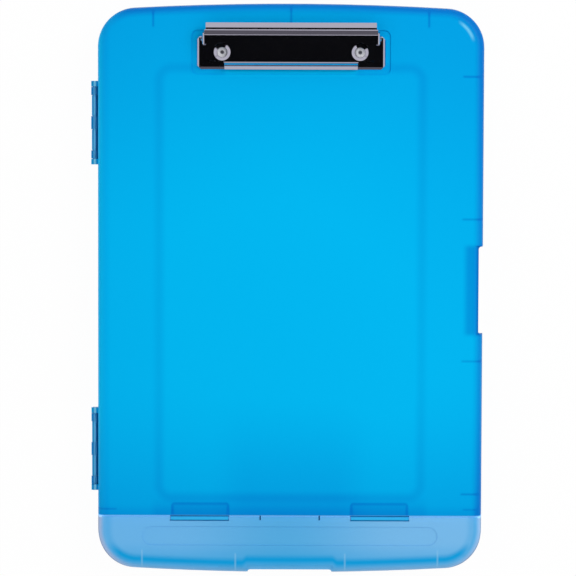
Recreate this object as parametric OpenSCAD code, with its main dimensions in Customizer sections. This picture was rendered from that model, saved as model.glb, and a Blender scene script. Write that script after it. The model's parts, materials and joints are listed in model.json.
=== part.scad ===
// Storage clipboard box: a shallow moulded case for loose sheets, with a hinged cover that
// carries a low-profile steel clip, and a separate hinged lid over a pen compartment.
// The case lies on its back: X runs across it, the clip is at +Y, and +Z faces the writer.
// The origin is the middle of the panel that it rests on. All sizes are in millimetres.

/* [Case] */
// Width of the case at the parting line
case_w = 243; // [230:1:265]
// Length of the case over the middle of its bowed ends
case_l = 359; // [340:1:390]
// Height of the closed case
case_h = 25; // [24:0.5:32]
// Angle that each bowed end turns through from its middle to a corner
bow_angle = 3.2; // [2:0.1:5]
// Radius of the case's corners seen from above
corner_r = 24.5; // [18:0.5:34]
// Radius of the long edges of the cover and the tray
edge_r = 5; // [3:0.5:6]
// Lean of the side walls on each side
wall_draft = 0.8; // [0.2:0.1:1.4]
// Height of the parting line above the table
part_z = 13; // [12:0.5:14]
// Wall of the cover and the pen lid
cover_t = 2; // [1.6:0.1:2.4]
// Wall of the tray
tray_t = 1.7; // [1.4:0.1:2]
// Height that the tray's wall reaches up inside the cover
lap_h = 5; // [3:0.5:6]
// Gap between the tray's wall and the cover's wall
lap_gap = 0.35; // [0.25:0.05:0.6]
// Gap between the tray's flange and the cover's edge
flange_gap = 0.3; // [0.25:0.05:0.5]
// Thickness of the flange round the tray
flange_t = 1.5; // [1.2:0.1:1.8]

/* [Foot panel] */
// Width of the raised panel on the back, which the case rests on
foot_w = 166; // [120:1:190]
// Length of the raised panel
foot_l = 272; // [200:1:284]
// Shift of the raised panel towards the clip
foot_shift = 4; // [0:0.5:10]
// Corner radius of the raised panel
foot_r = 10; // [4:1:20]
// Height of the raised panel
foot_h = 1.2; // [0.8:0.1:1.6]

/* [Pen compartment] */
// Depth of the pen lid, from the seam to the end of the case
pen_l = 37.1; // [30:0.5:50]
// Gap between the cover and the pen lid
seam_gap = 0.4; // [0.3:0.05:0.6]
// Thickness of the wall between sheets and pens
divider_t = 1.6; // [1.2:0.1:2]
// Length of the shallow groove pressed in the lid
groove_l = 186; // [120:1:200]
// Width of the groove in the lid
groove_w = 12; // [6:0.5:14]
// Depth of the groove in the lid
groove_d = 0.35; // [0.2:0.05:0.6]
// Distance from the seam to the middle of the groove
groove_at = 12.8; // [11:0.2:16]

/* [Finger notches] */
// Length of the notch in the side
side_notch_l = 55; // [40:1:70]
// Depth of the notch in the side
side_notch_d = 3.5; // [2:0.25:4.5]
// Length of the notch in the end
end_notch_l = 53; // [40:1:70]
// Depth of the notch in the end
end_notch_d = 3; // [2:0.25:4]
// Radius in the corners of the notches
notch_r = 1.8; // [1:0.1:2]
// Height of the slope that eases a notch's upper edge for a fingertip
ease_h = 1.3; // [1:0.1:1.6]

/* [Cover hinge] */
// Length of each hinge bail over its lugs
bail_l = 52.4; // [46:0.2:60]
// Distance of the upper bail's middle from the case's middle
upper_bail_y = 104.5; // [90:0.5:110]
// Distance of the lower bail's middle from the case's middle
lower_bail_y = 101.5; // [80:0.5:105]
// Distance of the hinge axis outside the case's side
hinge_out = 2.45; // [2.4:0.05:3]
// Radius of the bail's bar between the claws
bail_r = 1.35; // [1.2:0.05:1.5]
// Radius of the bail's bar inside the claws
neck_r = 0.95; // [0.8:0.05:1]
// Thickness of each lug at a bail's ends
lug_t = 3.5; // [2.5:0.1:4.5]
// Outer radius of a claw
claw_r = 1.75; // [1.7:0.05:1.9]
// Length of the claw in the middle of a bail
mid_claw_l = 8.2; // [6:0.2:10]
// Length of the claw near each lug
end_claw_l = 5; // [4:0.2:6]
// End play between the claws and the bail
claw_play = 0.3; // [0.2:0.05:0.5]
// Running clearance round a hinge pin
pin_fit = 0.05; // [0.03:0.01:0.08]
// Width of a claw's mouth as a share of its bore
mouth_share = 0.75; // [0.6:0.05:0.85]
// Thickness of the web under each bail
web_t = 1; // [0.8:0.1:1.5]
// Gap between the bail's lugs and the web
web_gap = 0.35; // [0.3:0.05:0.6]

/* [Pen lid hinge] */
// Length of each hinge block
block_l = 36.3; // [30:0.1:44]
// Distance between the middles of the two hinge blocks
block_pitch = 113.5; // [100:0.5:130]
// Reach of a hinge block under the cover, from the seam
block_reach = 7.6; // [6:0.2:9]
// Height of a hinge block
block_h = 5; // [4:0.5:7]
// Thickness of a hinge block's bridge over the divider
saddle_t = 1.6; // [1.2:0.1:2]
// Radius of the rounded edge that the lid turns on
nose_r = 1.75; // [1.6:0.05:1.9]
// Chamfer along the lid's upper edge at the seam
nose_chamfer = 0.9; // [0.8:0.05:1]
// Radius of the lid's hinge pins
lid_pin_r = 0.9; // [0.8:0.05:1]
// Play between a hinge block and the lid's cut-out
block_play = 0.4; // [0.3:0.05:0.6]
// Distance between the two relief slits in the lid's edge
slit_pitch = 37.2; // [30:0.2:60]
// Width of a relief slit
slit_w = 0.8; // [0.6:0.1:1.2]

/* [Ribs] */
// Thickness of the ribs inside the rim
rib_t = 1; // [0.8:0.1:1.4]
// Length of the ribs inside the rim
rib_l = 8.5; // [6:0.5:11]
// Height of the ribs under the panel
rib_h = 3.6; // [3:0.1:4]
// Pitch of the ribs at the clip end
end_rib_pitch = 86; // [70:1:90]
// Pitch of the ribs along the side with the notch
side_rib_pitch = 89; // [70:1:96]
// Distance of the last side rib from the seam
seam_rib_at = 14; // [9:0.5:20]
// Distance between the inner ribs of the pen lid
lid_rib_inner = 69; // [60:1:80]
// Distance between the outer ribs of the pen lid
lid_rib_outer = 187; // [150:1:190]

/* [Clip] */
// Distance from the case's end to the middle of the clip's plate
clip_at = 31.2; // [28:0.2:40]
// Width of the clip's base plate
plate_w = 118; // [110:1:130]
// Length of the clip's base plate
plate_l = 21.4; // [21:0.2:24]
// Sheet thickness of the clip
steel_t = 0.9; // [0.7:0.05:1.1]
// Width of the bevelled edge round the base plate
bevel_w = 1.6; // [1.2:0.1:2]
// Height of the base plate's hollow underside
plate_rise = 0.6; // [0.4:0.05:0.8]
// Chamfer across the base plate's corners
plate_chamfer = 3; // [2:0.2:4]
// Depth of the pocket that the clip lies in
pocket_d = 0.6; // [0.3:0.05:0.8]
// Margin of the pocket round the base plate
pocket_margin = 3.2; // [2:0.2:4]
// Distance of the jaw's sides from the base plate's ends
jaw_inset = 6; // [5:0.5:9]
// Width of the jaw's gripping lip
lip_w = 83; // [70:1:90]
// Height of the jaw's flat over the base plate
throat_h = 5.4; // [5.2:0.1:6.5]
// Height of the finger lever over the jaw's flat
lever_h = 2.8; // [2:0.2:4]
// Radius of the pivot rod
rod_r = 1.2; // [1:0.05:1.4]
// Distance from the base plate's upper edge to the pivot rod
rod_inset = 2.2; // [2:0.1:3]
// Width of the ears that hold the pivot rod
ear_l = 7.6; // [6:0.2:8]
// Bend radius of the jaw's sheet
bend_r = 1.3; // [1:0.1:1.5]

/* [Springs and rivets] */
// Wire diameter of the clip's springs
wire_d = 0.8; // [0.6:0.05:0.9]
// Gap between a spring's coil and the pivot rod
coil_play = 0.35; // [0.2:0.05:0.5]
// Turns in each spring
spring_turns = 6; // [4:1:8]
// Distance of each spring from the middle of the clip
spring_at = 24; // [14:1:30]
// Distance of each rivet from the base plate's end
rivet_inset = 16; // [12:0.5:20]
// Radius of a rivet's head
rivet_head_r = 3.1; // [2.6:0.1:3.6]
// Radius of the dish in the base plate round a rivet
dish_r = 5.2; // [4.4:0.1:6]
// Depth of the dish round a rivet
dish_d = 0.4; // [0.2:0.05:0.5]
// Radius of a rivet's shank
rivet_r = 1.9; // [1.5:0.1:2.2]
// Radius of the holes in the jaw over the rivets
access_r = 5.6; // [5:0.1:6]
// Radius of the washer under each rivet
washer_r = 4.5; // [4:0.1:6]

/* [Hidden] */
$fn = 96;

case_blue = [0.02, 0.5, 0.85];
lid_clear = [0.72, 0.8, 0.9];
chrome = [0.8, 0.81, 0.83];
spring_steel = [0.45, 0.45, 0.47];
eps = 0.01;
shy = 0.05;
over = 1;

// Plan of the case: a corner arc meets the bowed end's arc on the line of their centres.
corner_x = case_w / 2 - corner_r;
centres_apart = corner_x / sin(bow_angle);
bow_r = centres_apart + corner_r;
corner_y = round(100 * (case_l / 2 - bow_r + centres_apart * cos(bow_angle))) / 100;
bow_y = corner_y - centres_apart * cos(bow_angle);
end_reach = corner_r + 12;

// Heights and lines that several pieces share.
seam_y = -case_l / 2 + pen_l;
flange_z = part_z - flange_gap;
lap_in = cover_t + lap_gap;
tray_top = part_z + lap_h;
lap_lean = wall_draft * lap_h / (case_h - edge_r - part_z);
under_cover = case_h - cover_t;

// Clip, in a frame on the cover's face with its origin at the base plate's middle.
clip_y = case_l / 2 - clip_at;
plate_top = steel_t + plate_rise - pocket_d;
seat_z = plate_top - dish_d;
rod_y = plate_l / 2 - rod_inset;
rivet_pitch = plate_w - 2 * rivet_inset;
jaw_w = plate_w - 2 * jaw_inset;
coil_r = rod_r + coil_play + wire_d / 2;
rod_z = plate_top + coil_r + wire_d / 2 + eps;
jaw_under = plate_top + throat_h;
jaw_mid = jaw_under + steel_t / 2;
ear_r = rod_r + 1;
jaw_ear_x = jaw_w / 2 + bend_r;
plate_ear_x = jaw_ear_x - steel_t - 0.4;
rod_end_x = jaw_ear_x + steel_t + 0.3;

// ---- Case: one half section swept round the corners, the sides and the bowed ends ----

function bow_drop(x) = bow_r - sqrt(pow(bow_r, 2) - pow(x, 2));

// Moves by whole steps, then tenths of a micron, then the rest, which keeps every digit of
// the bowed ends' distant centre.
module place(v) {
    coarse = [for (a = v) floor(a)];
    fine = [for (a = v - coarse) floor(a * 1e4) / 1e4];
    translate(coarse) translate(fine) translate(v - coarse - fine) children();
}

// The children's part that reaches no further in than the given depth.
module inner_clip(reach) {
    intersection() {
        children();
        translate([-reach, -over]) square([reach + hinge_out, case_h + 2 * over]);
    }
}

// Sweeps a half section, drawn with the case's edge on x = 0, round the whole case.
module round_case(z0, z1) {
    for (side = [0, 1]) mirror([side, 0, 0]) {
        translate([case_w / 2, corner_y, 0]) rotate([90, 0, 0])
            linear_extrude(2 * corner_y) inner_clip(corner_r) children();
        for (end = [0, 1]) mirror([0, end, 0])
            translate([corner_x, corner_y, 0])
                rotate_extrude(angle = 90 - bow_angle)
                    translate([corner_r, 0]) inner_clip(corner_r) children();
    }
    for (end = [0, 1]) mirror([0, end, 0])
        place([0, bow_y, 0])
            rotate_extrude(start = 90 - bow_angle, angle = 2 * bow_angle, $fn = 720)
                place([bow_r, 0]) inner_clip(end_reach) children();
    x = corner_x + corner_r / 5;
    y = corner_y + corner_r / 5;
    translate([-x, -y, z0]) cube([2 * x, 2 * y, z1 - z0]);
}

// A filled quarter circle in the quadrant that the signs choose.
module quarter(r, sx, sz) {
    intersection() {
        circle(r);
        translate([sx < 0 ? -r : 0, sz < 0 ? -r : 0]) square(r);
    }
}

// Filled half section of the cover, a skin's depth in from its outside.
module cover_half(skin) {
    edge_x = -wall_draft - edge_r;
    polygon([[-skin, part_z], [-wall_draft - skin, case_h - edge_r], [edge_x, case_h - edge_r],
             [edge_x, case_h - skin], [-end_reach - over, case_h - skin],
             [-end_reach - over, part_z]]);
    translate([edge_x, case_h - edge_r]) quarter(edge_r - skin, 1, 1);
}

// Filled half section of the tray, a skin's depth in from its outside.
module tray_half(skin) {
    wall_x = -lap_in - skin;
    edge_x = -lap_in - wall_draft - edge_r;
    polygon([[wall_x - lap_lean, tray_top], [wall_x, flange_z],
             [wall_x - wall_draft, foot_h + edge_r],
             [edge_x, foot_h + edge_r], [edge_x, foot_h + skin],
             [-end_reach - over, foot_h + skin], [-end_reach - over, tray_top]]);
    translate([edge_x, foot_h + edge_r]) quarter(edge_r - skin, 1, -1);
}

module flange_half() {
    translate([-lap_in - tray_t / 2, flange_z - flange_t]) square([lap_in + tray_t / 2, flange_t]);
}

// Plan of a finger notch with its mouth on x = 0, grown by a wall's thickness.
module notch_plan(l, d, grow) {
    r = grow > 0 ? notch_r + grow : notch_r;
    difference() {
        translate([-d - grow, -l / 2 - grow]) square([d + grow + over, l + 2 * grow]);
        for (s = [-1, 1])
            translate([-d - grow, s * (l / 2 + grow)])
                difference() {
                    square(2 * r, center = true);
                    translate([r, -s * r]) circle(r);
                }
    }
}

module at_side() { translate([case_w / 2, 0, 0]) children(); }
module at_foot_end() { translate([0, -case_l / 2, 0]) rotate([0, 0, -90]) children(); }

// The wall that follows a notch, between two growths of its plan.
module notch_wall(l, d, grow_in, grow_out, z0, z1) {
    translate([0, 0, z0]) linear_extrude(z1 - z0)
        difference() {
            notch_plan(l, d, grow_out);
            notch_plan(l, d, grow_in);
        }
}

module notch_cut(l, d, grow, z0, z1) {
    translate([0, 0, z0]) linear_extrude(z1 - z0) notch_plan(l, d, grow);
}

module rounded_plan(w, l, r) {
    square([w - 2 * r, l], center = true);
    square([w, l - 2 * r], center = true);
    for (sx = [-1, 1], sy = [-1, 1])
        translate([sx * (w / 2 - r), sy * (l / 2 - r)]) circle(r);
}

module slot_plan(l, w) {
    square([l - w, w], center = true);
    for (s = [-1, 1]) translate([s * (l - w) / 2, 0]) circle(w / 2);
}

// ---- Base tray ----

module tray_shell() {
    round_case(foot_h, foot_h + tray_t) {
        union() {
            difference() {
                tray_half(0);
                tray_half(tray_t);
            }
            flange_half();
        }
    }
}

// The space that walls inside the tray may fill, just short of its outer faces.
module tray_block() {
    round_case(foot_h + shy, tray_top) { union() { tray_half(shy); flange_half(); } }
}

// Jogged wall and flange behind a finger notch.
module tray_notch_wall(l, d) {
    notch_wall(l, d, lap_in, lap_in + tray_t, foot_h, tray_top - shy);
    notch_wall(l, d, 0, lap_in + tray_t / 2, flange_z - flange_t + shy, flange_z - shy);
}

// Wall between sheets and pens. Its ends follow the middle of the tray's wall, and a
// narrower stretch rises under the cover.
module divider() {
    mid_r = edge_r - tray_t / 2;
    centre = [case_w / 2 - lap_in - wall_draft - edge_r, foot_h + edge_r];
    rise_x = case_w / 2 - wall_draft - edge_r - cover_t;
    translate([0, divider_y + divider_t, 0]) rotate([90, 0, 0]) linear_extrude(divider_t)
        for (s = [0, 1]) mirror([s, 0])
            polygon(concat([[-over, foot_h + tray_t / 2]],
                           [for (a = [-90:15:0]) centre + mid_r * [cos(a), sin(a)]],
                           [[case_w / 2 - lap_in - tray_t / 2, flange_z],
                            [case_w / 2 - lap_in - tray_t / 2 - lap_lean, tray_top],
                            [rise_x, tray_top], [rise_x, block_top],
                            [(block_pitch + block_l) / 2, block_top],
                            [(block_pitch + block_l) / 2, saddle_z],
                            [(block_pitch - block_l) / 2, saddle_z],
                            [(block_pitch - block_l) / 2, block_top], [-over, block_top]]));
}

// C-shaped grip round a hinge pin, along X, its mouth turned to the given angle.
module claw(r, bore, l, mouth_angle) {
    difference() {
        rotate([0, 90, 0]) cylinder(r = r, h = l, center = true);
        rotate([0, 90, 0]) cylinder(r = bore, h = l + 2 * over, center = true);
        rotate([mouth_angle, 0, 0]) translate([-l / 2 - over, -bore * mouth_share, 0])
            cube([l + 2 * over, 2 * bore * mouth_share, 2 * r]);
    }
}

// A flat-sided bead of n faces, one of them on top and one towards the seam.
function bead(r, n = 16) =
    [for (k = [0:n - 1]) r / cos(180 / n) * [cos(360 * (k + 0.5) / n), sin(360 * (k + 0.5) / n)]];

lid_axis_y = seam_y - seam_gap / 2 - nose_r;
lid_axis_z = case_h - nose_r;
block_y1 = seam_y + block_reach;
block_top = under_cover - 0.4;
divider_y = seam_y + block_reach / 3;
saddle_z = block_top - saddle_t;

// Hinge block that straddles the divider, with a grip for the lid's pin.
module lid_hinge_block() {
    difference() {
        translate([0, 0, block_top - block_h]) linear_extrude(block_h)
            difference() {
                translate([-block_l / 2, lid_axis_y]) square([block_l, block_y1 - lid_axis_y]);
                for (s = [-1, 1]) translate([s * block_l / 2, block_y1]) difference() {
                    square(5, center = true);
                    translate([-s * 2.5, -2.5]) circle(2.5);
                }
            }
        translate([0, lid_axis_y, lid_axis_z]) rotate([0, 90, 0])
            cylinder(r = nose_r - 0.3, h = block_l + 2 * over, center = true);
        translate([-block_l / 2 - over, divider_y, 0]) cube([block_l + 2 * over, divider_t, saddle_z]);
    }
    translate([0, lid_axis_y, lid_axis_z]) claw(nose_r - 0.05, lid_pin_r + pin_fit, block_l, 50);
}

module lid_hinge_blocks() {
    color(case_blue)
        for (s = [-1, 1]) translate([s * block_pitch / 2, 0, 0]) lid_hinge_block();
}

hinge_x = -case_w / 2 - hinge_out;
hinge_z = part_z;
claw_at = bail_l / 2 - lug_t - claw_play - end_claw_l / 2;
claws = [[-claw_at, end_claw_l], [0, mid_claw_l], [claw_at, end_claw_l]];
bail_ys = [upper_bail_y, -lower_bail_y];

module base_tray() {
    color(case_blue) {
        difference() {
            union() {
                tray_shell();
                translate([0, foot_shift, 0]) linear_extrude(foot_h + tray_t / 2)
                    rounded_plan(foot_w, foot_l, foot_r);
            }
            wall_mid = lap_in + tray_t / 2;
            at_side() notch_cut(side_notch_l, side_notch_d, wall_mid, -over, case_h);
            at_foot_end() notch_cut(end_notch_l, end_notch_d, wall_mid, -over, case_h);
            translate([0, foot_shift, tray_t]) linear_extrude(case_h)
                rounded_plan(foot_w - 2 * tray_t, foot_l - 2 * tray_t, foot_r - tray_t);
        }
        intersection() {
            tray_block();
            union() {
                at_side() tray_notch_wall(side_notch_l, side_notch_d);
                at_foot_end() tray_notch_wall(end_notch_l, end_notch_d);
            }
        }
        divider();
        for (y = bail_ys, c = claws)
            translate([hinge_x, y + c[0], hinge_z]) {
                rotate([0, 0, 90]) claw(claw_r, neck_r + pin_fit, c[1], 35);
                difference() {
                    translate([0, -c[1] / 2, -claw_r - web_gap - web_t / 2])
                        cube([hinge_out + tray_t, c[1], claw_r + web_gap + web_t / 2 - flange_gap]);
                    rotate([90, 0, 0]) cylinder(r = claw_r - 0.3, h = c[1] + over, center = true);
                }
            }
        for (y = bail_ys)
            translate([hinge_x - neck_r, y - bail_l / 2, hinge_z - claw_r - web_gap - web_t])
                cube([hinge_out + neck_r + lap_in + (tray_t + wall_draft) / 2, bail_l, web_t]);
    }
}

// ---- Covers: one shell, parted at the seam ----

module cover_shell() {
    round_case(under_cover, case_h) { difference() { cover_half(0); cover_half(cover_t); } }
}

// The space that walls inside the cover may fill, just short of its outer faces.
module cover_block() {
    round_case(part_z, case_h - shy) { cover_half(shy); }
}

// Slope that takes off the upper edge along a notch, a little past its ends.
module notch_ease(l, d) {
    top_x = -wall_draft - edge_r - 0.4;
    run = -d - top_x;
    rotate([90, 0, 0]) translate([0, 0, -l / 2 - 0.4]) linear_extrude(l + 0.8)
        polygon([[top_x, case_h], [over, case_h - ease_h * (over - top_x) / run],
                 [over, case_h + over], [top_x, case_h + over]]);
}

module seam_side(y0, y1) {
    translate([-case_w, y0, -over]) cube([2 * case_w, y1 - y0, case_h + 2 * over]);
}

// Rib under the panel, from the wall inwards along -X, sloping up to nothing.
module rim_rib(wall_in) {
    translate([-wall_in, rib_t / 2, under_cover]) rotate([90, 0, 0]) linear_extrude(rib_t)
        polygon([[edge_r / 2, cover_t / 2], [-rib_l, cover_t / 2], [0, -rib_h],
                 [edge_r / 2, -rib_h]]);
}

rib_in = wall_draft + cover_t;

module front_cover_ribs() {
    for (x = [-1, 0, 1]) translate([x * end_rib_pitch, case_l / 2, 0])
        translate([0, -bow_drop(x * end_rib_pitch), 0])
            rotate([0, 0, 90]) rim_rib(rib_in);
    for (y = [1.5 * side_rib_pitch, side_rib_pitch / 2, -side_rib_pitch / 2, seam_y + seam_rib_at])
        translate([case_w / 2, y, 0]) rim_rib(rib_in);
}

// Bail of the cover's hinge: a bar with two lugs.
module bail() {
    neck_l = bail_l - lug_t;
    rotate([90, 0, 0]) cylinder(r = neck_r, h = neck_l, center = true);
    collar0 = mid_claw_l / 2 + claw_play;
    collar1 = claw_at - end_claw_l / 2 - claw_play;
    for (s = [0, 1]) mirror([0, s, 0]) {
        translate([0, collar1, 0]) rotate([90, 0, 0])
            cylinder(r = bail_r, h = collar1 - collar0);
        translate([0, bail_l / 2 - lug_t, 0]) {
            translate([0, lug_t, 0]) rotate([90, 0, 0]) cylinder(r = claw_r, h = lug_t);
            cube([hinge_out + wall_draft + cover_t / 2, lug_t, claw_r]);
        }
    }
}

pad_t = 0.8;
under_pad = -cover_t - pad_t;
clip_pad_w = plate_w + 2 * pocket_margin + 4;
clip_pad_l = plate_l + 2 * pocket_margin + 4;

module at_clip() { translate([0, clip_y, case_h]) children(); }

module rivet_places() {
    for (s = [-1, 1]) translate([s * rivet_pitch / 2, 0, 0]) children();
}

// Pocket that the clip's plate lies in, with a pad that fills the plate's hollow.
module clip_pocket() {
    translate([0, 0, -pocket_d]) linear_extrude(pocket_d + over)
        rounded_plan(plate_w + 2 * pocket_margin, plate_l + 2 * pocket_margin, 4);
}

module clip_pad() {
    plate_form(steel_t + 0.1, -pocket_d - 0.2, plate_top - steel_t);
}

module rivet_holes() {
    rivet_places() translate([0, 0, -case_h / 2]) cylinder(r = rivet_r, h = case_h);
}

// The cover's plain shell with the pocket, the pad inside it and the rivets' holes.
module front_cover_shell() {
    difference() {
        union() {
            intersection() {
                cover_shell();
                seam_side(seam_y + seam_gap / 2, case_l);
            }
            at_clip() translate([-clip_pad_w / 2, -clip_pad_l / 2, under_pad])
                cube([clip_pad_w, clip_pad_l, cover_t / 2 + pad_t]);
        }
        at_side() notch_cut(side_notch_l, side_notch_d, cover_t / 2, 0, case_h + over);
        at_clip() {
            clip_pocket();
            rivet_holes();
        }
    }
    at_clip() difference() {
        clip_pad();
        rivet_holes();
    }
}

module front_cover() {
    color(case_blue) {
        difference() {
            union() {
                front_cover_shell();
                intersection() {
                    cover_block();
                    union() {
                        at_side()
                            notch_wall(side_notch_l, side_notch_d, 0, cover_t, part_z + shy, case_h);
                        front_cover_ribs();
                    }
                }
            }
            at_side() notch_ease(side_notch_l, side_notch_d);
        }
        for (y = bail_ys) translate([hinge_x, y, hinge_z]) bail();
    }
}

// Extrudes a section, drawn round the lid's hinge axis, along X over a length.
module along_lid_axis(l) {
    translate([-l / 2, lid_axis_y, lid_axis_z]) rotate([90, 0, 90]) linear_extrude(l) children();
}

// The lid's plain shell, with a bead along the edge that it turns on.
module lid_shell() {
    difference() {
        intersection() {
            cover_shell();
            seam_side(-case_l, seam_y - seam_gap / 2);
        }
        at_foot_end() notch_cut(end_notch_l, end_notch_d, cover_t / 2, 0, case_h + over);
    }
    along_lid_axis(case_w - 2 * (wall_draft + edge_r)) polygon(bead(nose_r));
}

module pen_lid() {
    color(lid_clear) {
        difference() {
            union() {
                lid_shell();
                intersection() {
                    cover_block();
                    union() {
                        at_foot_end()
                            notch_wall(end_notch_l, end_notch_d, 0, cover_t, part_z + shy, case_h);
                        lid_ribs();
                    }
                }
            }
            // The upper edge is chamfered over the whole width, to clear the cover as it turns.
            along_lid_axis(2 * case_w)
                polygon([[nose_r - nose_chamfer - over, nose_r + over], [nose_r + over, nose_r + over],
                         [nose_r + over, nose_r - nose_chamfer - over]]);
            for (s = [-1, 1]) {
                translate([s * block_pitch / 2, 0, 0])
                    along_lid_axis(block_l + 2 * block_play) polygon(bead(nose_r + block_play));
                translate([s * slit_pitch / 2 - slit_w / 2, lid_axis_y - nose_r / 2, 0])
                    cube([slit_w, 2 * nose_r, case_h + over]);
            }
            at_foot_end() notch_ease(end_notch_l, end_notch_d);
            translate([0, seam_y - groove_at, case_h - groove_d]) linear_extrude(case_h)
                slot_plan(groove_l, groove_w);
        }
        for (s = [-1, 1]) translate([s * block_pitch / 2, lid_axis_y, lid_axis_z])
            rotate([0, 90, 0])
                cylinder(r = lid_pin_r, h = block_l + 2 * block_play + 1, center = true);
    }
}

module lid_ribs() {
    for (pitch = [lid_rib_inner, lid_rib_outer], s = [-1, 1])
        translate([s * pitch / 2, -case_l / 2 + bow_drop(pitch / 2), 0])
            rotate([0, 0, -90]) rim_rib(rib_in);
}

// ---- Clip ----

// A plate with bevelled edges and chamfered corners, drawn in by a margin.
module plate_form(shrink, z0, z1) {
    w = plate_w - 2 * shrink;
    l = plate_l - 2 * shrink;
    h = z1 - z0;
    c = plate_chamfer - shrink / 2;
    intersection() {
        translate([0, l / 2, z0]) rotate([90, 0, 0]) linear_extrude(l)
            polygon([[-w / 2, 0], [w / 2, 0], [w / 2 - bevel_w, h], [bevel_w - w / 2, h]]);
        translate([-w / 2, 0, z0]) rotate([90, 0, 90]) linear_extrude(w)
            polygon([[-l / 2, 0], [l / 2, 0], [l / 2 - bevel_w, h], [bevel_w - l / 2, h]]);
        translate([0, 0, z0]) linear_extrude(h)
            polygon([[-w / 2, -l / 2 + c], [-w / 2 + c, -l / 2], [w / 2 - c, -l / 2],
                     [w / 2, -l / 2 + c], [w / 2, l / 2 - c], [w / 2 - c, l / 2],
                     [c - w / 2, l / 2], [-w / 2, l / 2 - c]]);
    }
}

// Ear with a rounded end round the rod, widening to its foot at the given height.
module ear(x, foot_y0, foot_y1, foot_z, bore) {
    translate([x, rod_y, rod_z]) rotate([90, 0, 90]) linear_extrude(steel_t)
        difference() {
            union() {
                circle(ear_r);
                polygon([[foot_y0, foot_z - rod_z], [foot_y1, foot_z - rod_z],
                         [ear_r, 0], [-ear_r, 0]]);
            }
            circle(bore);
        }
}

module clip_base_plate() {
    color(chrome) at_clip() {
        difference() {
            plate_form(0, -pocket_d, plate_top);
            plate_form(steel_t, -pocket_d - eps, plate_top - steel_t);
            rivet_places() {
                translate([0, 0, -over]) cylinder(r = rivet_r, h = 3 * over);
                translate([0, 0, seat_z])
                    cylinder(r1 = rivet_head_r + 0.2, r2 = 2 * dish_r - rivet_head_r - 0.2, h = 2 * dish_d);
            }
        }
        for (s = [0, 1]) mirror([s, 0, 0])
            ear(plate_ear_x, -ear_l / 2, rod_inset - bevel_w / 2, plate_top - steel_t / 2, rod_r);
    }
}

module pivot_rod() {
    color(chrome) at_clip() translate([0, rod_y, rod_z]) rotate([0, 90, 0]) {
        cylinder(r = rod_r, h = 2 * rod_end_x, center = true);
        for (s = [0, 1]) mirror([0, 0, s]) translate([0, 0, rod_end_x]) {
            cylinder(r1 = rod_r + 0.6, r2 = rod_r, h = 0.8);
        }
    }
}

function unit(v) = v / norm(v);
function left_of(v) = [-v.y, v.x];

// Points of a round bend of radius r at corner b, between a and c.
function bend(a, b, c, r, n) =
    let (u = unit(a - b),
         v = unit(c - b),
         half = acos(u * v) / 2,
         p = b + u * r / tan(half),
         q = b + v * r / tan(half),
         m = b + unit(u + v) * r / sin(half),
         a0 = atan2(p.y - m.y, p.x - m.x),
         sweep = (atan2(q.y - m.y, q.x - m.x) - a0 + 540) % 360 - 180)
    [for (i = [0:n]) m + r * [cos(a0 + sweep * i / n), sin(a0 + sweep * i / n)]];

function bent_path(pts, r, n) =
    [pts[0],
     for (i = [1:len(pts) - 2]) each bend(pts[i - 1], pts[i], pts[i + 1], r, n),
     pts[len(pts) - 1]];

function heading(path, i) =
    unit(path[min(i + 1, len(path) - 1)] - path[max(i - 1, 0)]);

// One face of a sheet of which the path is the middle.
function sheet_side(path, d) =
    [for (i = [0:len(path) - 1]) path[i] + d * left_of(heading(path, i))];

module sheet_section(path, t) {
    far = sheet_side(path, t / 2);
    near = sheet_side(path, -t / 2);
    polygon(concat(far, [for (i = [len(near) - 1:-1:0]) near[i]]));
}

// Side view of the jaw: gripping lip, flat, step and finger lever.
lip_y = -plate_l / 2 + 4;
step_y = rod_y + 2;
jaw_path = bent_path([[-plate_l / 2 + 0.1, plate_top + steel_t / 2 + 0.1],
                      [-plate_l / 2 + 2.2, plate_top + steel_t / 2 + 0.7],
                      [lip_y, jaw_mid],
                      [step_y, jaw_mid],
                      [step_y + 3.2, jaw_mid + lever_h],
                      [step_y + 4.4, jaw_mid + lever_h],
                      [step_y + 7.2, jaw_mid + lever_h - 1.9]], bend_r, 4);
lever_y = step_y + 7.5;

module jaw_plan() {
    ear_y0 = rod_y - ear_l / 2;
    ear_y1 = rod_y + ear_l / 2;
    flat_y = lip_y + bend_r;
    for (s = [0, 1]) mirror([s, 0])
        polygon([[0, lever_y + over], [jaw_w / 2, lever_y + over], [jaw_w / 2, ear_y1 + 1.5],
                 [jaw_ear_x + steel_t, ear_y1], [jaw_ear_x + steel_t, ear_y0], [jaw_w / 2, ear_y0],
                 [jaw_w / 2 - 0.8, flat_y], [lip_w / 2 + 1.2, flat_y], [lip_w / 2, flat_y - 1.2],
                 [lip_w / 2, -plate_l], [0, -plate_l]]);
}

// What is left off the outside of the bends that the ears hang from.
module ear_bends() {
    translate([0, rod_y + ear_l / 2 + 2, 0]) rotate([90, 0, 0]) linear_extrude(ear_l + 4)
        for (s = [0, 1]) mirror([s, 0])
            translate([jaw_ear_x + steel_t - bend_r, jaw_under + steel_t - bend_r])
                difference() {
                    square([2 * bend_r, 4 * bend_r]);
                    circle(bend_r);
                }
}

module clip_jaw() {
    color(chrome) at_clip() difference() {
        union() {
            intersection() {
                translate([-plate_w / 2, 0, 0]) rotate([90, 0, 90])
                    linear_extrude(plate_w) sheet_section(jaw_path, steel_t);
                linear_extrude(case_h) jaw_plan();
            }
            for (s = [0, 1]) mirror([s, 0, 0])
                ear(jaw_ear_x, -ear_l / 2, ear_l / 2, jaw_mid, rod_r + pin_fit);
        }
        rivet_places() cylinder(r = access_r, h = case_h);
        ear_bends();
    }
}

// ---- Springs: a coil round the rod, one leg on the cover, one under the lever ----

coil_pitch = 1.08 * wire_d;

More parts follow.
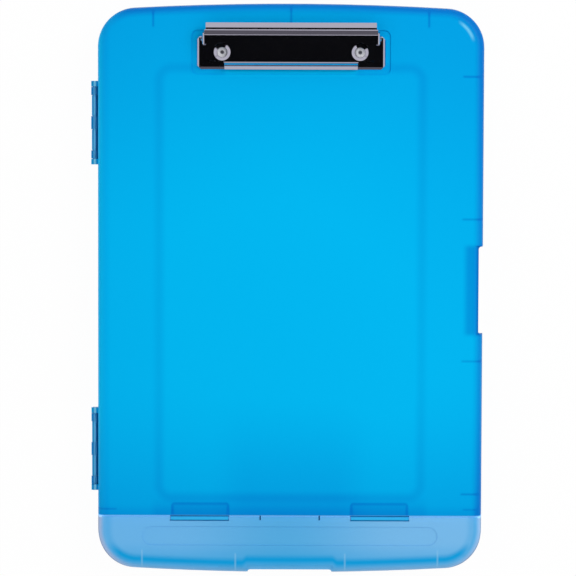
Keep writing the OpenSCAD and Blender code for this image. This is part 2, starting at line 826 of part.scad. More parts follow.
function coil_point(turn) =
    [turn * coil_pitch, coil_r * cos(360 * turn), -coil_r * sin(360 * turn)];

// Route of the wire: lower leg, helix from the rod's underside to its top, upper leg.
function spring_path(turns, steps) =
    let (first = coil_point(0.25),
         last = coil_point(turns + 0.75),
         upper = jaw_under - rod_z - wire_d / 2 - eps)
    concat([first + [0, rod_inset, 0]],
           [for (i = [0:steps * (turns + 0.5)]) coil_point(0.25 + i / steps)],
           [[last.x, step_y - rod_y - bend_r / 2, upper]]);

function ring(path, i, r, sides) =
    let (d = unit(path[min(i + 1, len(path) - 1)] - path[max(i - 1, 0)]),
         u = unit(cross(d, [1, 0, 0])),
         v = cross(d, u))
    [for (k = [0:sides - 1]) path[i] + r * (cos(360 * k / sides) * u + sin(360 * k / sides) * v)];

module wire(path, r, sides) {
    n = len(path);
    points = [for (i = [0:n - 1]) each ring(path, i, r, sides)];
    walls = [for (i = [0:n - 2], k = [0:sides - 1])
                let (a = i * sides + k, b = i * sides + (k + 1) % sides)
                [a, b, b + sides, a + sides]];
    polyhedron(points, concat([[for (k = [sides - 1:-1:0]) k]], walls,
                              [[for (k = [0:sides - 1]) (n - 1) * sides + k]]));
}

module clip_spring() {
    color(spring_steel) at_clip() translate([-(spring_turns + 1) * coil_pitch / 2, rod_y, rod_z])
        wire(spring_path(spring_turns, 12), wire_d / 2, 6);
}

module spring_left() { translate([-spring_at, 0, 0]) clip_spring(); }
module spring_right() { translate([spring_at, 0, 0]) clip_spring(); }

// ---- Rivets: a dished head on the plate, and a rolled end over a washer ----

module rivet() {
    color(chrome) at_clip() {
        difference() {
            union() {
                translate([0, 0, seat_z]) {
                    cylinder(r = rivet_head_r, h = 0.5);
                    translate([0, 0, 0.5]) cylinder(r1 = rivet_head_r, r2 = rivet_head_r - 0.6, h = 0.4);
                }
                translate([0, 0, under_pad - 0.6]) cylinder(r = rivet_r, h = seat_z - under_pad + 0.7);
                translate([0, 0, under_pad - 1.3]) cylinder(r = rivet_r + 0.9, h = 0.7);
            }
            translate([0, 0, seat_z + 0.2]) cylinder(r1 = 0.6, r2 = 1.4, h = 0.8);
            translate([0, 0, under_pad - 2]) cylinder(r = rivet_r / 2, h = 1.8);
        }
    }
}

module rivet_washer() {
    color(chrome) at_clip() translate([0, 0, under_pad - 0.6]) difference() {
        cylinder(r = washer_r, h = 0.6);
        translate([0, 0, -over]) cylinder(r = rivet_r, h = 3 * over);
    }
}

module rivet_left() { translate([-rivet_pitch / 2, 0, 0]) rivet(); }
module rivet_right() { translate([rivet_pitch / 2, 0, 0]) rivet(); }
module rivet_washer_left() { translate([-rivet_pitch / 2, 0, 0]) rivet_washer(); }
module rivet_washer_right() { translate([rivet_pitch / 2, 0, 0]) rivet_washer(); }

base_tray();
lid_hinge_blocks();
front_cover();
pen_lid();
clip_base_plate();
pivot_rod();
clip_jaw();
spring_left();
spring_right();
rivet_left();
rivet_right();
rivet_washer_left();
rivet_washer_right();
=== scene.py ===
import json
import math

import bmesh
import bpy
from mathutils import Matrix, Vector


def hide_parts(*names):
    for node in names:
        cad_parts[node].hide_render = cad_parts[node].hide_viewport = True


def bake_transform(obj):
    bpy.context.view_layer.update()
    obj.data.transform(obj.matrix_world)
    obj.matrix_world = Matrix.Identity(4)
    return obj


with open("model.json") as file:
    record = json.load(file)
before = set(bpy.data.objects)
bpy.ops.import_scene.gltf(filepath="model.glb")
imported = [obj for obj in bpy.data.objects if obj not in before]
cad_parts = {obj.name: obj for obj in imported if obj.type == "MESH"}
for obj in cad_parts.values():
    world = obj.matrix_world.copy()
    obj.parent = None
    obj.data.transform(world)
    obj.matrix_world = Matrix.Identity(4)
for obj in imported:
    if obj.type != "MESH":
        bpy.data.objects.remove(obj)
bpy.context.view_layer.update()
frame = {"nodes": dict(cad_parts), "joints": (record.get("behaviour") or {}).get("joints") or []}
nodes = frame["nodes"]


# ---- Tray ------------------------------------------------------------------------------
# The deep lower half of the box, moulded in one shot of translucent sky-blue polypropylene
# with the dividing wall, the stiffening ribs and the claws of the cover's hinges. It carries
# all the rest.

class Value:
    """A socket of a node tree that takes part in sums as a number would."""

    def __init__(self, sheet, socket):
        self.sheet = sheet
        self.socket = socket

    def maths(self, operation, first, second=0.0):
        return self.sheet.node("ShaderNodeMath", {"operation": operation}, {0: first, 1: second})

    def __add__(self, other):
        return self.maths("ADD", self, other)

    def __radd__(self, other):
        return self.maths("ADD", other, self)

    def __sub__(self, other):
        return self.maths("SUBTRACT", self, other)

    def __rsub__(self, other):
        return self.maths("SUBTRACT", other, self)

    def __mul__(self, other):
        return self.maths("MULTIPLY", self, other)

    def __rmul__(self, other):
        return self.maths("MULTIPLY", other, self)

    def __truediv__(self, other):
        return self.maths("DIVIDE", self, other)

    def __neg__(self):
        return self.maths("MULTIPLY", self, -1.0)

    def __abs__(self):
        return self.maths("ABSOLUTE", self)

    def __lt__(self, other):
        return self.maths("LESS_THAN", self, other)

    def __gt__(self, other):
        return self.maths("GREATER_THAN", self, other)

    def root(self):
        return self.maths("SQRT", self)

    def cosine(self):
        return self.maths("COSINE", self)

    def sine(self):
        return self.maths("SINE", self)

    def least(self, other):
        return self.maths("MINIMUM", self, other)

    def most(self, other):
        return self.maths("MAXIMUM", self, other)

    def fade(self, low, high):
        """0 below low and 1 above high, turning softly between them."""
        return self.sheet.node("ShaderNodeMapRange", {"interpolation_type": "SMOOTHSTEP"},
                               {"Value": self, "From Min": low, "From Max": high})


class Sheet:
    """A node tree under construction."""

    def __init__(self, tree):
        self.tree = tree

    def node(self, kind, settings=None, sockets=None, out=0):
        made = self.tree.nodes.new(kind)
        for name, value in (settings or {}).items():
            setattr(made, name, value)
        for key, value in (sockets or {}).items():
            if isinstance(value, Value):
                self.tree.links.new(value.socket, made.inputs[key])
            else:
                made.inputs[key].default_value = value
        return Value(self, made.outputs[out]) if made.outputs else None

    def place(self):
        """x, y and z of the point on the piece, in metres."""
        point = self.node("ShaderNodeTexCoord", out="Object")
        return [self.node("ShaderNodeSeparateXYZ", sockets={0: point}, out=i) for i in range(3)]

    def tint(self, share, first, second):
        """The first colour where share is 0, the second where it is 1."""
        return self.node("ShaderNodeMix", {"data_type": "RGBA"}, {0: share, 6: first, 7: second},
                         out=2)

    def grain(self, scale):
        """Soft noise from 0 to 1, with about this many grains to the metre."""
        point = self.node("ShaderNodeTexCoord", out="Object")
        return self.node("ShaderNodeTexNoise", {}, {"Vector": point, "Scale": scale, "Detail": 2.0})

    def waves(self, scale, strength, height):
        """The normal of a surface that this grain makes uneven, by this height in metres."""
        return self.node("ShaderNodeBump", {}, {"Strength": strength, "Distance": height,
                                                "Height": self.grain(scale)})


def colour(red, green, blue):
    """Screen values from 0 to 255 as a colour for a socket."""
    def linear(value):
        share = value / 255
        return share / 12.92 if share <= 0.04045 else ((share + 0.055) / 1.055) ** 2.4
    return (linear(red), linear(green), linear(blue), 1.0)


def new_finish(name):
    finish = bpy.data.materials.new(name)
    finish.use_nodes = True
    finish.node_tree.nodes.clear()
    return finish, Sheet(finish.node_tree)


def close_finish(sheet, surface):
    sheet.node("ShaderNodeOutputMaterial", sockets={"Surface": surface})


def dress(finish, *names):
    """Gives these CAD nodes the finish, in the objects' own slots."""
    for name in names:
        for slot in nodes[name].material_slots:
            slot.link = "OBJECT"
            slot.material = finish


def depth_in(x, y, half_x, half_y, radius, bow=0.0):
    """How far a point lies inside a rounded rectangle, in metres. Its ends curve inwards by
    bow * x * x."""
    past_x = abs(x) - (half_x - radius)
    past_y = abs(y) + bow * x * x - (half_y - radius)
    out_x = past_x.most(0.0)
    out_y = past_y.most(0.0)
    return radius - (out_x * out_x + out_y * out_y).root() - past_x.most(past_y).least(0.0)


case_half_x = 0.1215
case_half_y = 0.1795
case_corner = 0.0245
case_bow = 0.2838


def depth_in_case(x, y):
    """How far a point lies inside the outline of the closed case."""
    return depth_in(x, y, case_half_x, case_half_y, case_corner, case_bow)


def line(distance, half_width):
    """1 along a line, fading to 0 at its half width."""
    return 1 - abs(distance).fade(0.0, half_width)


seam_z = 0.013
seam_reach = 0.0110
outline_depths = (0.0006, 0.0058)
left_rim_xs = (-0.1165, -0.1000)
hinge_side_xs = (-0.1219, -0.1214)
side_notch_x = 0.118
side_notch_half = 0.0275
side_notch_line = 0.0020
blue_deep_shaded = colour(0, 121, 209)
blue_lit = colour(0, 187, 246)
blue_outline = colour(6, 96, 160)
blue_painted_glint = colour(150, 232, 255)


def blue_plastic(name, tone_of, glint_of):
    """Sky-blue polypropylene, with its light and shade painted into the colour. Its tone goes
    from 0, deep, where the plastic is thick or seen edge-on and under painted shade, to 1, the
    painted light in the open middle of a panel. Its outermost edge is teal, the plastic seen
    edge-on with painted shade added, most of all at the seam, less on the left side, where the
    light falls, and more again on the hinges there. The glint is a painted highlight."""
    finish, sheet = new_finish(name)
    x, y, z = sheet.place()
    tone = tone_of(x, y, z).least(1.0).most(0.0)
    # The teal outline: the plastic seen edge-on, with painted shade along the seam; it is weaker on
    # the left side, where the light falls.
    outline = 1 - depth_in_case(x, y).fade(*outline_depths)
    outline = outline * (0.35 + 0.65 * line(z - seam_z, seam_reach))
    notch_edge = line(x - side_notch_x, side_notch_line) \
        * (1 - abs(y).fade(side_notch_half, side_notch_half + 0.001))
    outline = outline.most(0.7 * notch_edge)
    outline = outline * (0.08 + 0.72 * x.fade(*left_rim_xs) + 0.25 * (1 - x.fade(*hinge_side_xs)))
    # Painted light and shade: the lit blue at tone 1, the deep, shaded blue at tone 0.
    tint = sheet.tint(tone, blue_deep_shaded, blue_lit)
    tint = sheet.tint(outline, tint, blue_outline)
    # Painted highlights.
    tint = sheet.tint(glint_of(x, y, z), tint, blue_painted_glint)
    close_finish(sheet, sheet.node("ShaderNodeBsdfPrincipled", {}, {
        "Base Color": tint,
        "Roughness": 0.3 + 0.08 * sheet.grain(25.0),
        "Specular IOR Level": 0.035,
        "Normal": sheet.waves(60.0, 0.25, 0.00004),
    }))
    return finish


tray_floor = 0.0017
tray_glow_x = 0.25
tray_glow_y = 0.24
hinge_glint_x = -0.1233
hinge_glint_half = 0.0012


def tray_tone(x, y, z):
    """Painted light in the middle of the floor; deeper up the walls, partly the plastic seen
    edge-on and partly painted shade.
    """
    across = x / tray_glow_x
    along = y / tray_glow_y
    wall = z.fade(tray_floor + 0.0005, seam_z)
    return 0.85 - 0.5 * (across * across + along * along) - 0.35 * wall


def hinge_glint(x, y, z):
    """A painted highlight: the light strip along the tops of the hinges on the left edge."""
    return line(x - hinge_glint_x, hinge_glint_half)


dress(blue_plastic("tray_plastic", tray_tone, hinge_glint), "base_tray")


# ---- Lid hinge blocks ------------------------------------------------------------------
# Two small saddles of the same plastic, pressed over the dividing wall. Each ends in a row of
# C-shaped grips into which the pen lid's pins snap.

slit_side_ys = (0.1408, 0.1414)


def block_tone(x, y, z):
    """Painted light on the side that stands in the pen lid's slits, and in the shaded gap by them.
    """
    return 0.35 + 0.35 * (-y).fade(*slit_side_ys)


def block_glint(x, y, z):
    # A painted highlight on the same side.
    return 0.1 * (-y).fade(*slit_side_ys)


dress(blue_plastic("block_plastic", block_tone, block_glint), "lid_hinge_blocks")


# ---- Front cover -----------------------------------------------------------------------
# The writing board: a shallow lid of the same blue plastic that snaps on to the tray's left
# edge by two pin hinges. Its face carries painted light and shade: the light in the open
# panel, and painted shade where what lies below would show through: the raised panel on the
# back, the ribs, the dividing wall and the hinge blocks.

glow_x = 0.42
glow_clip_ys = (0.0215, 0.1925)
glow_lid_ys = (0.05, 0.22)
slant_xs = (0.0, 0.09)
slant_ys = (-0.06, 0.06)


def cover_glow(x, y):
    """The painted light in the open panel. It falls off to both sides, to the clip and most of
    all to the pen lid. On the right it is a little weaker by the clip and stronger by the pen lid."""
    across = x / glow_x
    along = 0.32 * y.fade(*glow_clip_ys) + 0.64 * (-y).fade(*glow_lid_ys)
    slant = 0.05 * x.fade(*slant_xs) * (2 * y.fade(*slant_ys) - 1)
    return 0.98 - across * across - along - slant


left_light_x = -0.1195
left_light_half = 0.0025
left_light_ys = (-0.11, -0.05)
left_shade_x = -0.1155
left_shade_half = 0.0035
clip_lip_y = 0.1364
clip_lip_xs = (0.039, 0.043)
lip_light_half = 0.0040


def edge_light(x, y):
    """A painted light line on the left edge with painted shade inside it, and painted light
    below the clip's lip, which lightens the shadow there.
    """
    left_light = line(x - left_light_x, left_light_half) * y.fade(*left_light_ys)
    left_shade = line(x - left_shade_x, left_shade_half)
    below_lip = line(y - clip_lip_y, lip_light_half) * (1 - abs(x).fade(*clip_lip_xs))
    return 0.3 * left_light - 0.1 * left_shade + 0.4 * below_lip


rim_xs = (-0.117, -0.098)
rim_depths = (0.0016, 0.0078)
notch_step_xs = (0.1072, 0.1122)
notch_end_ys = (side_notch_half - 0.0015, side_notch_half + 0.0025)


def rim_shade(x, y):
    """Painted shade on the turned-down rim, dark but on the left, where the light falls, and on
    the step of the finger notch.
    """
    rim = x.fade(*rim_xs) * (1 - depth_in_case(x, y).fade(*rim_depths))
    notch = x.fade(*notch_step_xs) * (1 - abs(y).fade(*notch_end_ys))
    return 0.64 * rim + 0.5 * notch


foot_half_x = 0.0825
foot_half_y = 0.1350
foot_middle_y = 0.0040
foot_corner = 0.0085
foot_line_depth = 0.0003
foot_line_half = 0.0052
foot_inside_depths = (-0.001, 0.006)


def foot_shade(x, y):
    """The raised panel on the back, which lies below: a soft line of painted shade along its step,
    a touch more painted light inside.
    """
    foot_depth = depth_in(x, y - foot_middle_y, foot_half_x, foot_half_y, foot_corner)
    return 0.17 * line(foot_depth - foot_line_depth, foot_line_half) \
        - 0.05 * foot_depth.fade(*foot_inside_depths)


rib_half = 0.0013
end_rib_xs = (-0.086, 0.0, 0.086)
end_rib_ys = (0.1630, 0.1650)
side_rib_ys = (0.1335, 0.0445, -0.0445, -0.1284)
side_rib_xs = (0.1065, 0.1085)
wall_end_y = -0.1382
wall_end_half = 0.0012
wall_end_xs = (0.1080, 0.1100)


def lines(value, places, half_width):
    """1 along each of several lines, where the value is at one of the places."""
    marked = line(value - places[0], half_width)
    for place in places[1:]:
        marked = marked.most(line(value - place, half_width))
    return marked


def rib_shade(x, y):
    """Painted shade where the ribs inside the rim and the ends of the dividing wall lie below."""
    end_ribs = lines(x, end_rib_xs, rib_half) * y.fade(*end_rib_ys)
    side_ribs = lines(y, side_rib_ys, rib_half) * x.fade(*side_rib_xs)
    wall_ends = line(y - wall_end_y, wall_end_half) * abs(x).fade(*wall_end_xs)
    return 0.42 * end_ribs.most(side_ribs) + 0.25 * wall_ends


block_middle = (0.0563, -0.1392)
block_half = (0.0183, 0.0052)
block_corner = 0.0022
block_edge_depths = (-0.0004, 0.0004)
block_line_depth = 0.0008
block_line_half = 0.0017
between_middle_x = 0.0015
between_xs = (0.025, 0.055)
between_ys = (0.055, 0.125)
wall_xs = (0.083, 0.089)
wall_ys = (0.128, 0.138)
cover_seam_y = -0.1424
seam_shade_width = 0.008


def hinge_shade(x, y):
    """Painted shade over the hinge blocks, the dividing wall, the middle before it and along the
    seam by the pen lid.
    """
    block_depth = depth_in(abs(x) - block_middle[0], y - block_middle[1], *block_half, block_corner)
    block = block_depth.fade(*block_edge_depths)
    block_line = line(block_depth - block_line_depth, block_line_half)
    wall = (1 - abs(x).fade(*wall_xs)) * (-y).fade(*wall_ys)
    between = (1 - abs(x - between_middle_x).fade(*between_xs)) * (-y).fade(*between_ys)
    seam = 1 - (y - cover_seam_y).fade(0.0, seam_shade_width)
    return 0.13 * block + 0.24 * block_line + 0.12 * wall + 0.14 * between + 0.2 * seam


skirt_zs = (0.0165, 0.0215)


def cover_tone(x, y, z):
    """Everything painted on the face, light and shade; below it the cover is never quite deep."""
    face = cover_glow(x, y) + edge_light(x, y) - rim_shade(x, y) - foot_shade(x, y) \
        - rib_shade(x, y) - hinge_shade(x, y)
    return face.most(0.3 * (1 - z.fade(*skirt_zs)))


corner_glint_depth = 0.0072
corner_glint_half = 0.0017
corner_glint_xs = (0.1035, 0.1085)
corner_glint_ys = (0.1545, 0.1600)
seam_glint_ys = (cover_seam_y + 0.0001, cover_seam_y + 0.0006)


def cover_glint(x, y, z):
    """Painted highlights on the hinges, in the bend of the upper right corner and on the edge at
    the seam.
    """
    corner = line(depth_in_case(x, y) - corner_glint_depth, corner_glint_half) \
        * x.fade(*corner_glint_xs) * y.fade(*corner_glint_ys)
    edge = 1 - y.fade(*seam_glint_ys)
    return hinge_glint(x, y, z).most(0.5 * corner).most(0.5 * edge)


dress(blue_plastic("cover_plastic", cover_tone, cover_glint), "front_cover")


# ---- Pen lid ---------------------------------------------------------------------------
# The frosted, almost colourless lid of the pen compartment, moulded in polypropylene. It turns
# on pins in the two blocks, and the tray's blue shows through it.

haze_left = colour(116, 198, 253)
haze_right = colour(130, 203, 253)
haze_deep = colour(90, 187, 243)
rim_grey = colour(194, 216, 255)
wall_cyan = colour(0, 171, 238)
rim_dark = colour(96, 122, 165)
rib_light = colour(150, 214, 252)
unlit = (0.0, 0.0, 0.0, 1.0)

finish, sheet = new_finish("lid_plastic")
x, y, z = sheet.place()
inward = depth_in_case(x, y)

# The frosted plastic is bluest in the middle and towards its lower wall.
haze_xs = (-0.11, 0.11)
haze_middle_x = -0.004
haze_middle_half = 0.075
low_haze_ys = (0.158, 0.170)
haze = sheet.tint(x.fade(*haze_xs), haze_left, haze_right)
haze = sheet.tint(0.9 * line(x - haze_middle_x, haze_middle_half), haze, haze_deep)
haze = sheet.tint(0.35 * (-y).fade(*low_haze_ys), haze, wall_cyan)

# The tray's wall shows as a cyan band, which steps inwards round the finger notch. Along the
# right edge the same cyan is laid on as painted shade.
wall_depth = 0.0071
wall_half = 0.0042
low_wall_ys = (0.158, 0.167)
end_notch_xs = (0.0265, 0.0305)
end_notch_step = 0.0021
right_shade_depth = 0.0045
right_shade_half = 0.0045
right_shade_xs = (0.095, 0.115)
in_notch = 1 - abs(x).fade(*end_notch_xs)
low_wall = line(inward - wall_depth - end_notch_step * in_notch, wall_half) \
    * (0.3 + 0.7 * (-y).fade(*low_wall_ys))
# Painted shade along the right edge.
right_edge_shade = line(inward - right_shade_depth, right_shade_half) * x.fade(*right_shade_xs)
haze = sheet.tint(low_wall.most(0.5 * right_edge_shade), haze, wall_cyan)

# The rim is pale, most of all on the left side, with a thin dark edge.
lid_rim_depths = (0.0014, 0.0048)
lid_edge_depths = (0.0007, 0.0017)
side_rim_xs = (0.090, 0.116)
side_rim = abs(x).fade(*side_rim_xs) * (0.85 - 0.55 * x.fade(0.0, 0.1))
haze = sheet.tint((1 - inward.fade(*lid_rim_depths)) * (0.2 + 0.8 * side_rim), haze, rim_grey)
haze = sheet.tint(0.6 * (1 - inward.fade(*lid_edge_depths)), haze, rim_dark)

# Four short ribs inside the rim shine through.
lid_rib_xs = (-0.0930, -0.0342, 0.0348, 0.0932)
lid_rib_half = 0.0010
rib_start_depths = (0.0010, 0.0030)
rib_end_depths = (0.0120, 0.0140)
ribs = lines(x, lid_rib_xs, lid_rib_half) * inward.fade(*rib_start_depths) \
    * (1 - inward.fade(*rib_end_depths))

# The turning edge has a faint painted glow, which stands in for the case's light coming up
# through the gap beside it.
turning_edge_ys = (-0.1440, -0.1430)
turning_edge_zs = (0.0238, 0.0246)
turning_edge = y.fade(*turning_edge_ys) * (1 - z.fade(*turning_edge_zs))

close_finish(sheet, sheet.node("ShaderNodeBsdfPrincipled", {}, {
    "Base Color": sheet.tint(0.5 * ribs, haze, rib_light),
    "Roughness": 0.42,
    "Specular IOR Level": 0.15,
    "Alpha": 0.82,
    "Emission Color": sheet.tint(turning_edge, unlit, rib_light),
    "Emission Strength": 0.6,
    "Normal": sheet.waves(160.0, 0.2, 0.00005),
}))
dress(finish, "pen_lid")


# ---- Clip base plate, rivets and washers -----------------------------------------------
# The plate of the clip, stamped from 0.9 mm steel, bevelled, chrome-plated and held down
# through the cover by two nickelled rivets, which are rolled over plain washers. The rivets'
# heads are bright, with painted shade in the middle that stands for their hollow.

def plated_steel(name, tone, roughness):
    """Polished metal plate with the faint unevenness of a stamped part."""
    finish, sheet = new_finish(name)
    close_finish(sheet, sheet.node("ShaderNodeBsdfPrincipled", {}, {
        "Base Color": tone,
        "Metallic": 1.0,
        "Roughness": roughness + 0.05 * sheet.grain(45.0),
    }))
    return finish


chrome = plated_steel("clip_chrome", colour(228, 231, 238), 0.04)
dress(chrome, "clip_base_plate")

rivet_x = 0.0430
rivet_y = 0.1483
rivet_shade_rs = (0.0007, 0.0016)
hollow_shade_grey = colour(96, 96, 104)
nickel_white = colour(252, 252, 255)

finish, sheet = new_finish("rivet_nickel")
x, y = sheet.place()[:2]
off_x = abs(x) - rivet_x
off_y = y - rivet_y
from_axis = (off_x * off_x + off_y * off_y).root()
# The dull middle of each head is painted shade for the hollow.
close_finish(sheet, sheet.node("ShaderNodeBsdfPrincipled", {}, {
    "Base Color": sheet.tint(from_axis.fade(*rivet_shade_rs), hollow_shade_grey, nickel_white),
    "Metallic": 0.15,
    "Roughness": 0.45,
}))
dress(finish, "rivet_left", "rivet_right", "rivet_washer_left", "rivet_washer_right")


# ---- Pivot rod -------------------------------------------------------------------------
# A drawn steel pin through the ears of plate and jaw, zinc-plated, its ends upset so that
# it can't slide out.

dress(plated_steel("rod_zinc", colour(188, 192, 198), 0.16), "pivot_rod")


# ---- Springs ---------------------------------------------------------------------------
# Two torsion springs of 0.8 mm spring wire, wound round the pivot rod. The lower leg rests
# on the plate and the upper leg pushes the jaw's lever up. Opening the jaw winds them up.

rod_centre = Vector(next(joint["pos_m"] for joint in frame["joints"]
                         if joint["name"] == "clip_jaw_pivot"))
spring_x = 0.024
wire_radius = 0.0004
coil_radius = 0.00195
coil_pitch = 0.000864
coil_turns = 6
ring_steps = 24
lower_leg = 0.0022
upper_leg = 0.00135
upper_leg_z = 0.00263
wire_sides = 10

spring_finish = plated_steel("spring_steel", colour(150, 151, 155), 0.22)

spring_tree = bpy.data.node_groups.new("wound_wire", "GeometryNodeTree")
spring_inputs = {}
for name in ("Middle", "Coil radius", "Wire radius", "Pitch", "Turns", "Lower leg", "Upper leg",
             "Upper leg height"):
    spring_inputs[name] = spring_tree.interface.new_socket(
        name=name, in_out="INPUT", socket_type="NodeSocketFloat")
spring_inputs["Finish"] = spring_tree.interface.new_socket(
    name="Finish", in_out="INPUT", socket_type="NodeSocketMaterial")
spring_tree.interface.new_socket(name="Wire", in_out="OUTPUT", socket_type="NodeSocketGeometry")

sheet = Sheet(spring_tree)


def asked(name):
    return sheet.node("NodeGroupInput", out=name)


# The wire starts as a straight row of points. The first is the lower leg's end, the last the
# upper leg's, and those between are wound round the rod.
turns = asked("Turns")
rings = ring_steps * (turns + 0.5)
point = sheet.node("GeometryNodeInputIndex")
turn = (0.25 + (point - 1) / ring_steps).most(0.25).least(turns + 0.75)
first = point < 0.5
last = point > rings + 1.5
angle = turn * (2 * math.pi)
radius = asked("Coil radius")
wire_place = sheet.node("ShaderNodeCombineXYZ", {}, {
    0: asked("Middle") + (turn - (turns + 1) / 2) * asked("Pitch"),
    1: rod_centre.y + radius * angle.cosine() + asked("Lower leg") * first
       + asked("Upper leg") * last,
    2: rod_centre.z - radius * angle.sine() + last * (asked("Upper leg height") - radius),
})
straight = sheet.node("GeometryNodeCurvePrimitiveLine", {}, {"End": (0.0, 0.0, 0.01)})
row = sheet.node("GeometryNodeResampleCurve", {}, {"Curve": straight, "Count": rings + 3})
wound = sheet.node("GeometryNodeSetPosition", {}, {"Geometry": row, "Position": wire_place})
circle = sheet.node("GeometryNodeCurvePrimitiveCircle", {},
                    {"Resolution": wire_sides, "Radius": asked("Wire radius")})
tube = sheet.node("GeometryNodeCurveToMesh", {},
                  {"Curve": wound, "Profile Curve": circle, "Fill Caps": True})
smooth = sheet.node("GeometryNodeSetShadeSmooth", {}, {"Geometry": tube})
plain = sheet.node("GeometryNodeRealizeInstances", {}, {"Geometry": smooth})
sheet.node("NodeGroupOutput", {}, {"Wire": sheet.node(
    "GeometryNodeSetMaterial", {}, {"Geometry": plain, "Material": asked("Finish")})})


def wind_spring(name, middle, node):
    """Winds one spring round the rod, in place of its plain solid."""
    holder = bpy.data.objects.new(name, bpy.data.meshes.new(name))
    bpy.context.scene.collection.objects.link(holder)
    winder = holder.modifiers.new("winder", "NODES")
    winder.node_group = spring_tree
    wanted = {"Middle": middle, "Coil radius": coil_radius, "Wire radius": wire_radius,
              "Pitch": coil_pitch, "Turns": float(coil_turns), "Lower leg": lower_leg,
              "Upper leg": upper_leg, "Upper leg height": upper_leg_z, "Finish": spring_finish}
    for asked_name, value in wanted.items():
        winder[spring_inputs[asked_name].identifier] = value
    bpy.context.view_layer.update()
    made = bpy.data.meshes.new_from_object(
        holder.evaluated_get(bpy.context.evaluated_depsgraph_get()))
    holder.modifiers.clear()
    holder.data = made
    skin = bmesh.new()
    skin.from_mesh(made)
    bmesh.ops.recalc_face_normals(skin, faces=skin.faces)
    skin.to_mesh(made)
    skin.free()
    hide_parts(node)
    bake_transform(holder)


wind_spring("wound_spring_left", -spring_x, "spring_left")
wind_spring("wound_spring_right", spring_x, "spring_right")


# ---- Jaw -------------------------------------------------------------------------------
# The gripping jaw and its finger lever, one bent strip of the same plated steel with an ear
# turned down at each side. Two round holes let the riveting tool reach the rivets.

dress(chrome, "clip_jaw")


# ---- Floor, studio and camera ----------------------------------------------------------
# A white table under soft light from all round, with a dark board overhead and a dark band
# low round the room, as over polished things: the clip's flats show the board, its bevels
# and bends show the grey room between.

def flat_board(name, centre, half_x, half_y, facing_up):
    """A flat rectangle of the studio, which is no part of the case."""
    corners = [(-half_x, -half_y), (half_x, -half_y), (half_x, half_y), (-half_x, half_y)]
    mesh = bpy.data.meshes.new(name)
    order = (0, 1, 2, 3) if facing_up else (3, 2, 1, 0)
    mesh.from_pydata([(centre[0] + dx, centre[1] + dy, centre[2]) for dx, dy in corners], [],
                     [order])
    board = bpy.data.objects.new(name, mesh)
    bpy.context.scene.collection.objects.link(board)
    return board


def looked_at(sheet):
    """1 for rays that look straight at the background or through a clear piece at it."""
    straight = sheet.node("ShaderNodeLightPath", out="Is Camera Ray")
    return straight.most(sheet.node("ShaderNodeLightPath", out="Is Transmission Ray"))


full_white = (1.0, 1.0, 1.0, 1.0)
table_white = (0.95, 0.95, 0.95, 1.0)
table_glow = 0.97
table_half = 6.0
table_z = -0.0002

table = flat_board("table", (0.0, 0.0, table_z), table_half, table_half, True)
finish, sheet = new_finish("table_white")
seen = looked_at(sheet).most(sheet.node("ShaderNodeLightPath", out="Is Glossy Ray"))
matt = sheet.node("ShaderNodeBsdfDiffuse", {}, {"Color": table_white})
white = sheet.node("ShaderNodeEmission", {}, {"Color": full_white, "Strength": 1.0})
close_finish(sheet, sheet.node("ShaderNodeMixShader", {}, {0: table_glow * seen, 1: matt, 2: white}))
table.data.materials.append(finish)

board_middle = (0.0, 0.03, 1.25)
board_half_x = 0.36
board_half_y = 0.5
board_black = (0.004, 0.004, 0.005, 1.0)

dark_board = flat_board("dark_board", board_middle, board_half_x, board_half_y, False)
dark_board.visible_camera = False
finish, sheet = new_finish("board_black")
close_finish(sheet, sheet.node("ShaderNodeBsdfDiffuse", {}, {"Color": board_black}))
dark_board.data.materials.append(finish)

band_radius = 3.0
band_low = 0.15
band_high = 0.85
band_grey = (0.11, 0.10, 0.12, 1.0)

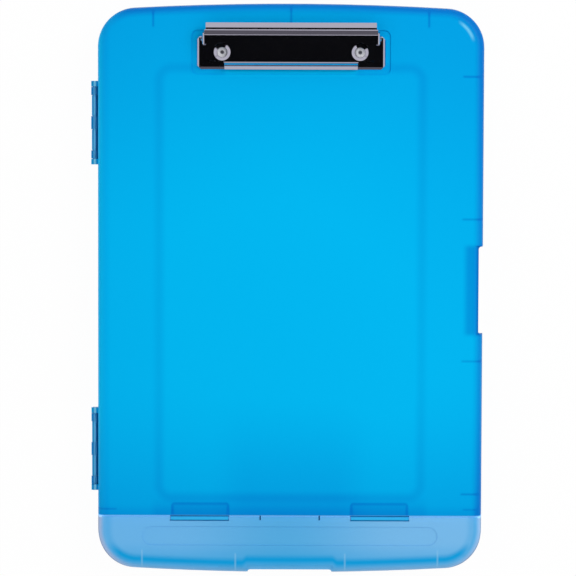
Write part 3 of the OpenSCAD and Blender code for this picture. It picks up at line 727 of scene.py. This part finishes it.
band = bpy.data.objects.new("dark_band", bpy.data.meshes.new("dark_band"))
skin = bmesh.new()
bmesh.ops.create_cone(skin, cap_ends=False, segments=64, radius1=band_radius,
                      radius2=band_radius, depth=band_high - band_low)
bmesh.ops.translate(skin, verts=skin.verts, vec=(0.0, 0.0, (band_low + band_high) / 2))
skin.to_mesh(band.data)
skin.free()
bpy.context.scene.collection.objects.link(band)
band.visible_camera = False
band.visible_diffuse = False
band.visible_transmission = False
band.visible_shadow = False
finish, sheet = new_finish("band_grey")
close_finish(sheet, sheet.node("ShaderNodeEmission", {}, {"Color": band_grey}))
band.data.materials.append(finish)

key_size = 0.9
key_power = 9.0
key_place = Vector((0.95, 0.75, 1.1))

key = bpy.data.objects.new("key_light", bpy.data.lights.new("key_light", "AREA"))
key.data.shape = "DISK"
key.data.size = key_size
key.data.energy = key_power
key.location = key_place
key.rotation_euler = (-key_place).to_track_quat("-Z", "Y").to_euler()
bpy.context.scene.collection.objects.link(key)

room_light = 0.84
room_grey = (0.53, 0.50, 0.57, 1.0)

world = bpy.data.worlds.new("soft_room")
bpy.context.scene.world = world
world.use_nodes = True
world.node_tree.nodes.clear()
sheet = Sheet(world.node_tree)
room = sheet.node("ShaderNodeBackground", {}, {"Color": full_white, "Strength": room_light})
grey = sheet.node("ShaderNodeBackground", {}, {"Color": room_grey, "Strength": 1.0})
white = sheet.node("ShaderNodeBackground", {}, {"Color": full_white, "Strength": 1.0})
mirrored = sheet.node("ShaderNodeMixShader", {}, {
    0: sheet.node("ShaderNodeLightPath", out="Is Glossy Ray"), 1: room, 2: grey})
sheet.node("ShaderNodeOutputWorld", {}, {"Surface": sheet.node(
    "ShaderNodeMixShader", {}, {0: looked_at(sheet), 1: mirrored, 2: white})})

eye_distance = 1.43
eye_tilt = math.radians(2.7)
eye_roll = math.radians(0.18)
view_width = 0.3609
view_centre = Vector((-0.0017, 0.00125, 0.025))
film_width = 36.0

camera = bpy.data.objects.new("camera", bpy.data.cameras.new("camera"))
camera.data.sensor_width = film_width
camera.data.lens = film_width * eye_distance / view_width
camera.data.clip_start = 0.01
camera.data.clip_end = 50.0
camera.location = view_centre + eye_distance * Vector((0.0, math.sin(eye_tilt),
                                                       math.cos(eye_tilt)))
camera.rotation_euler = (-eye_tilt, 0.0, eye_roll)
bpy.context.scene.collection.objects.link(camera)
bpy.context.scene.camera = camera
bpy.context.scene.view_settings.view_transform = "Standard"
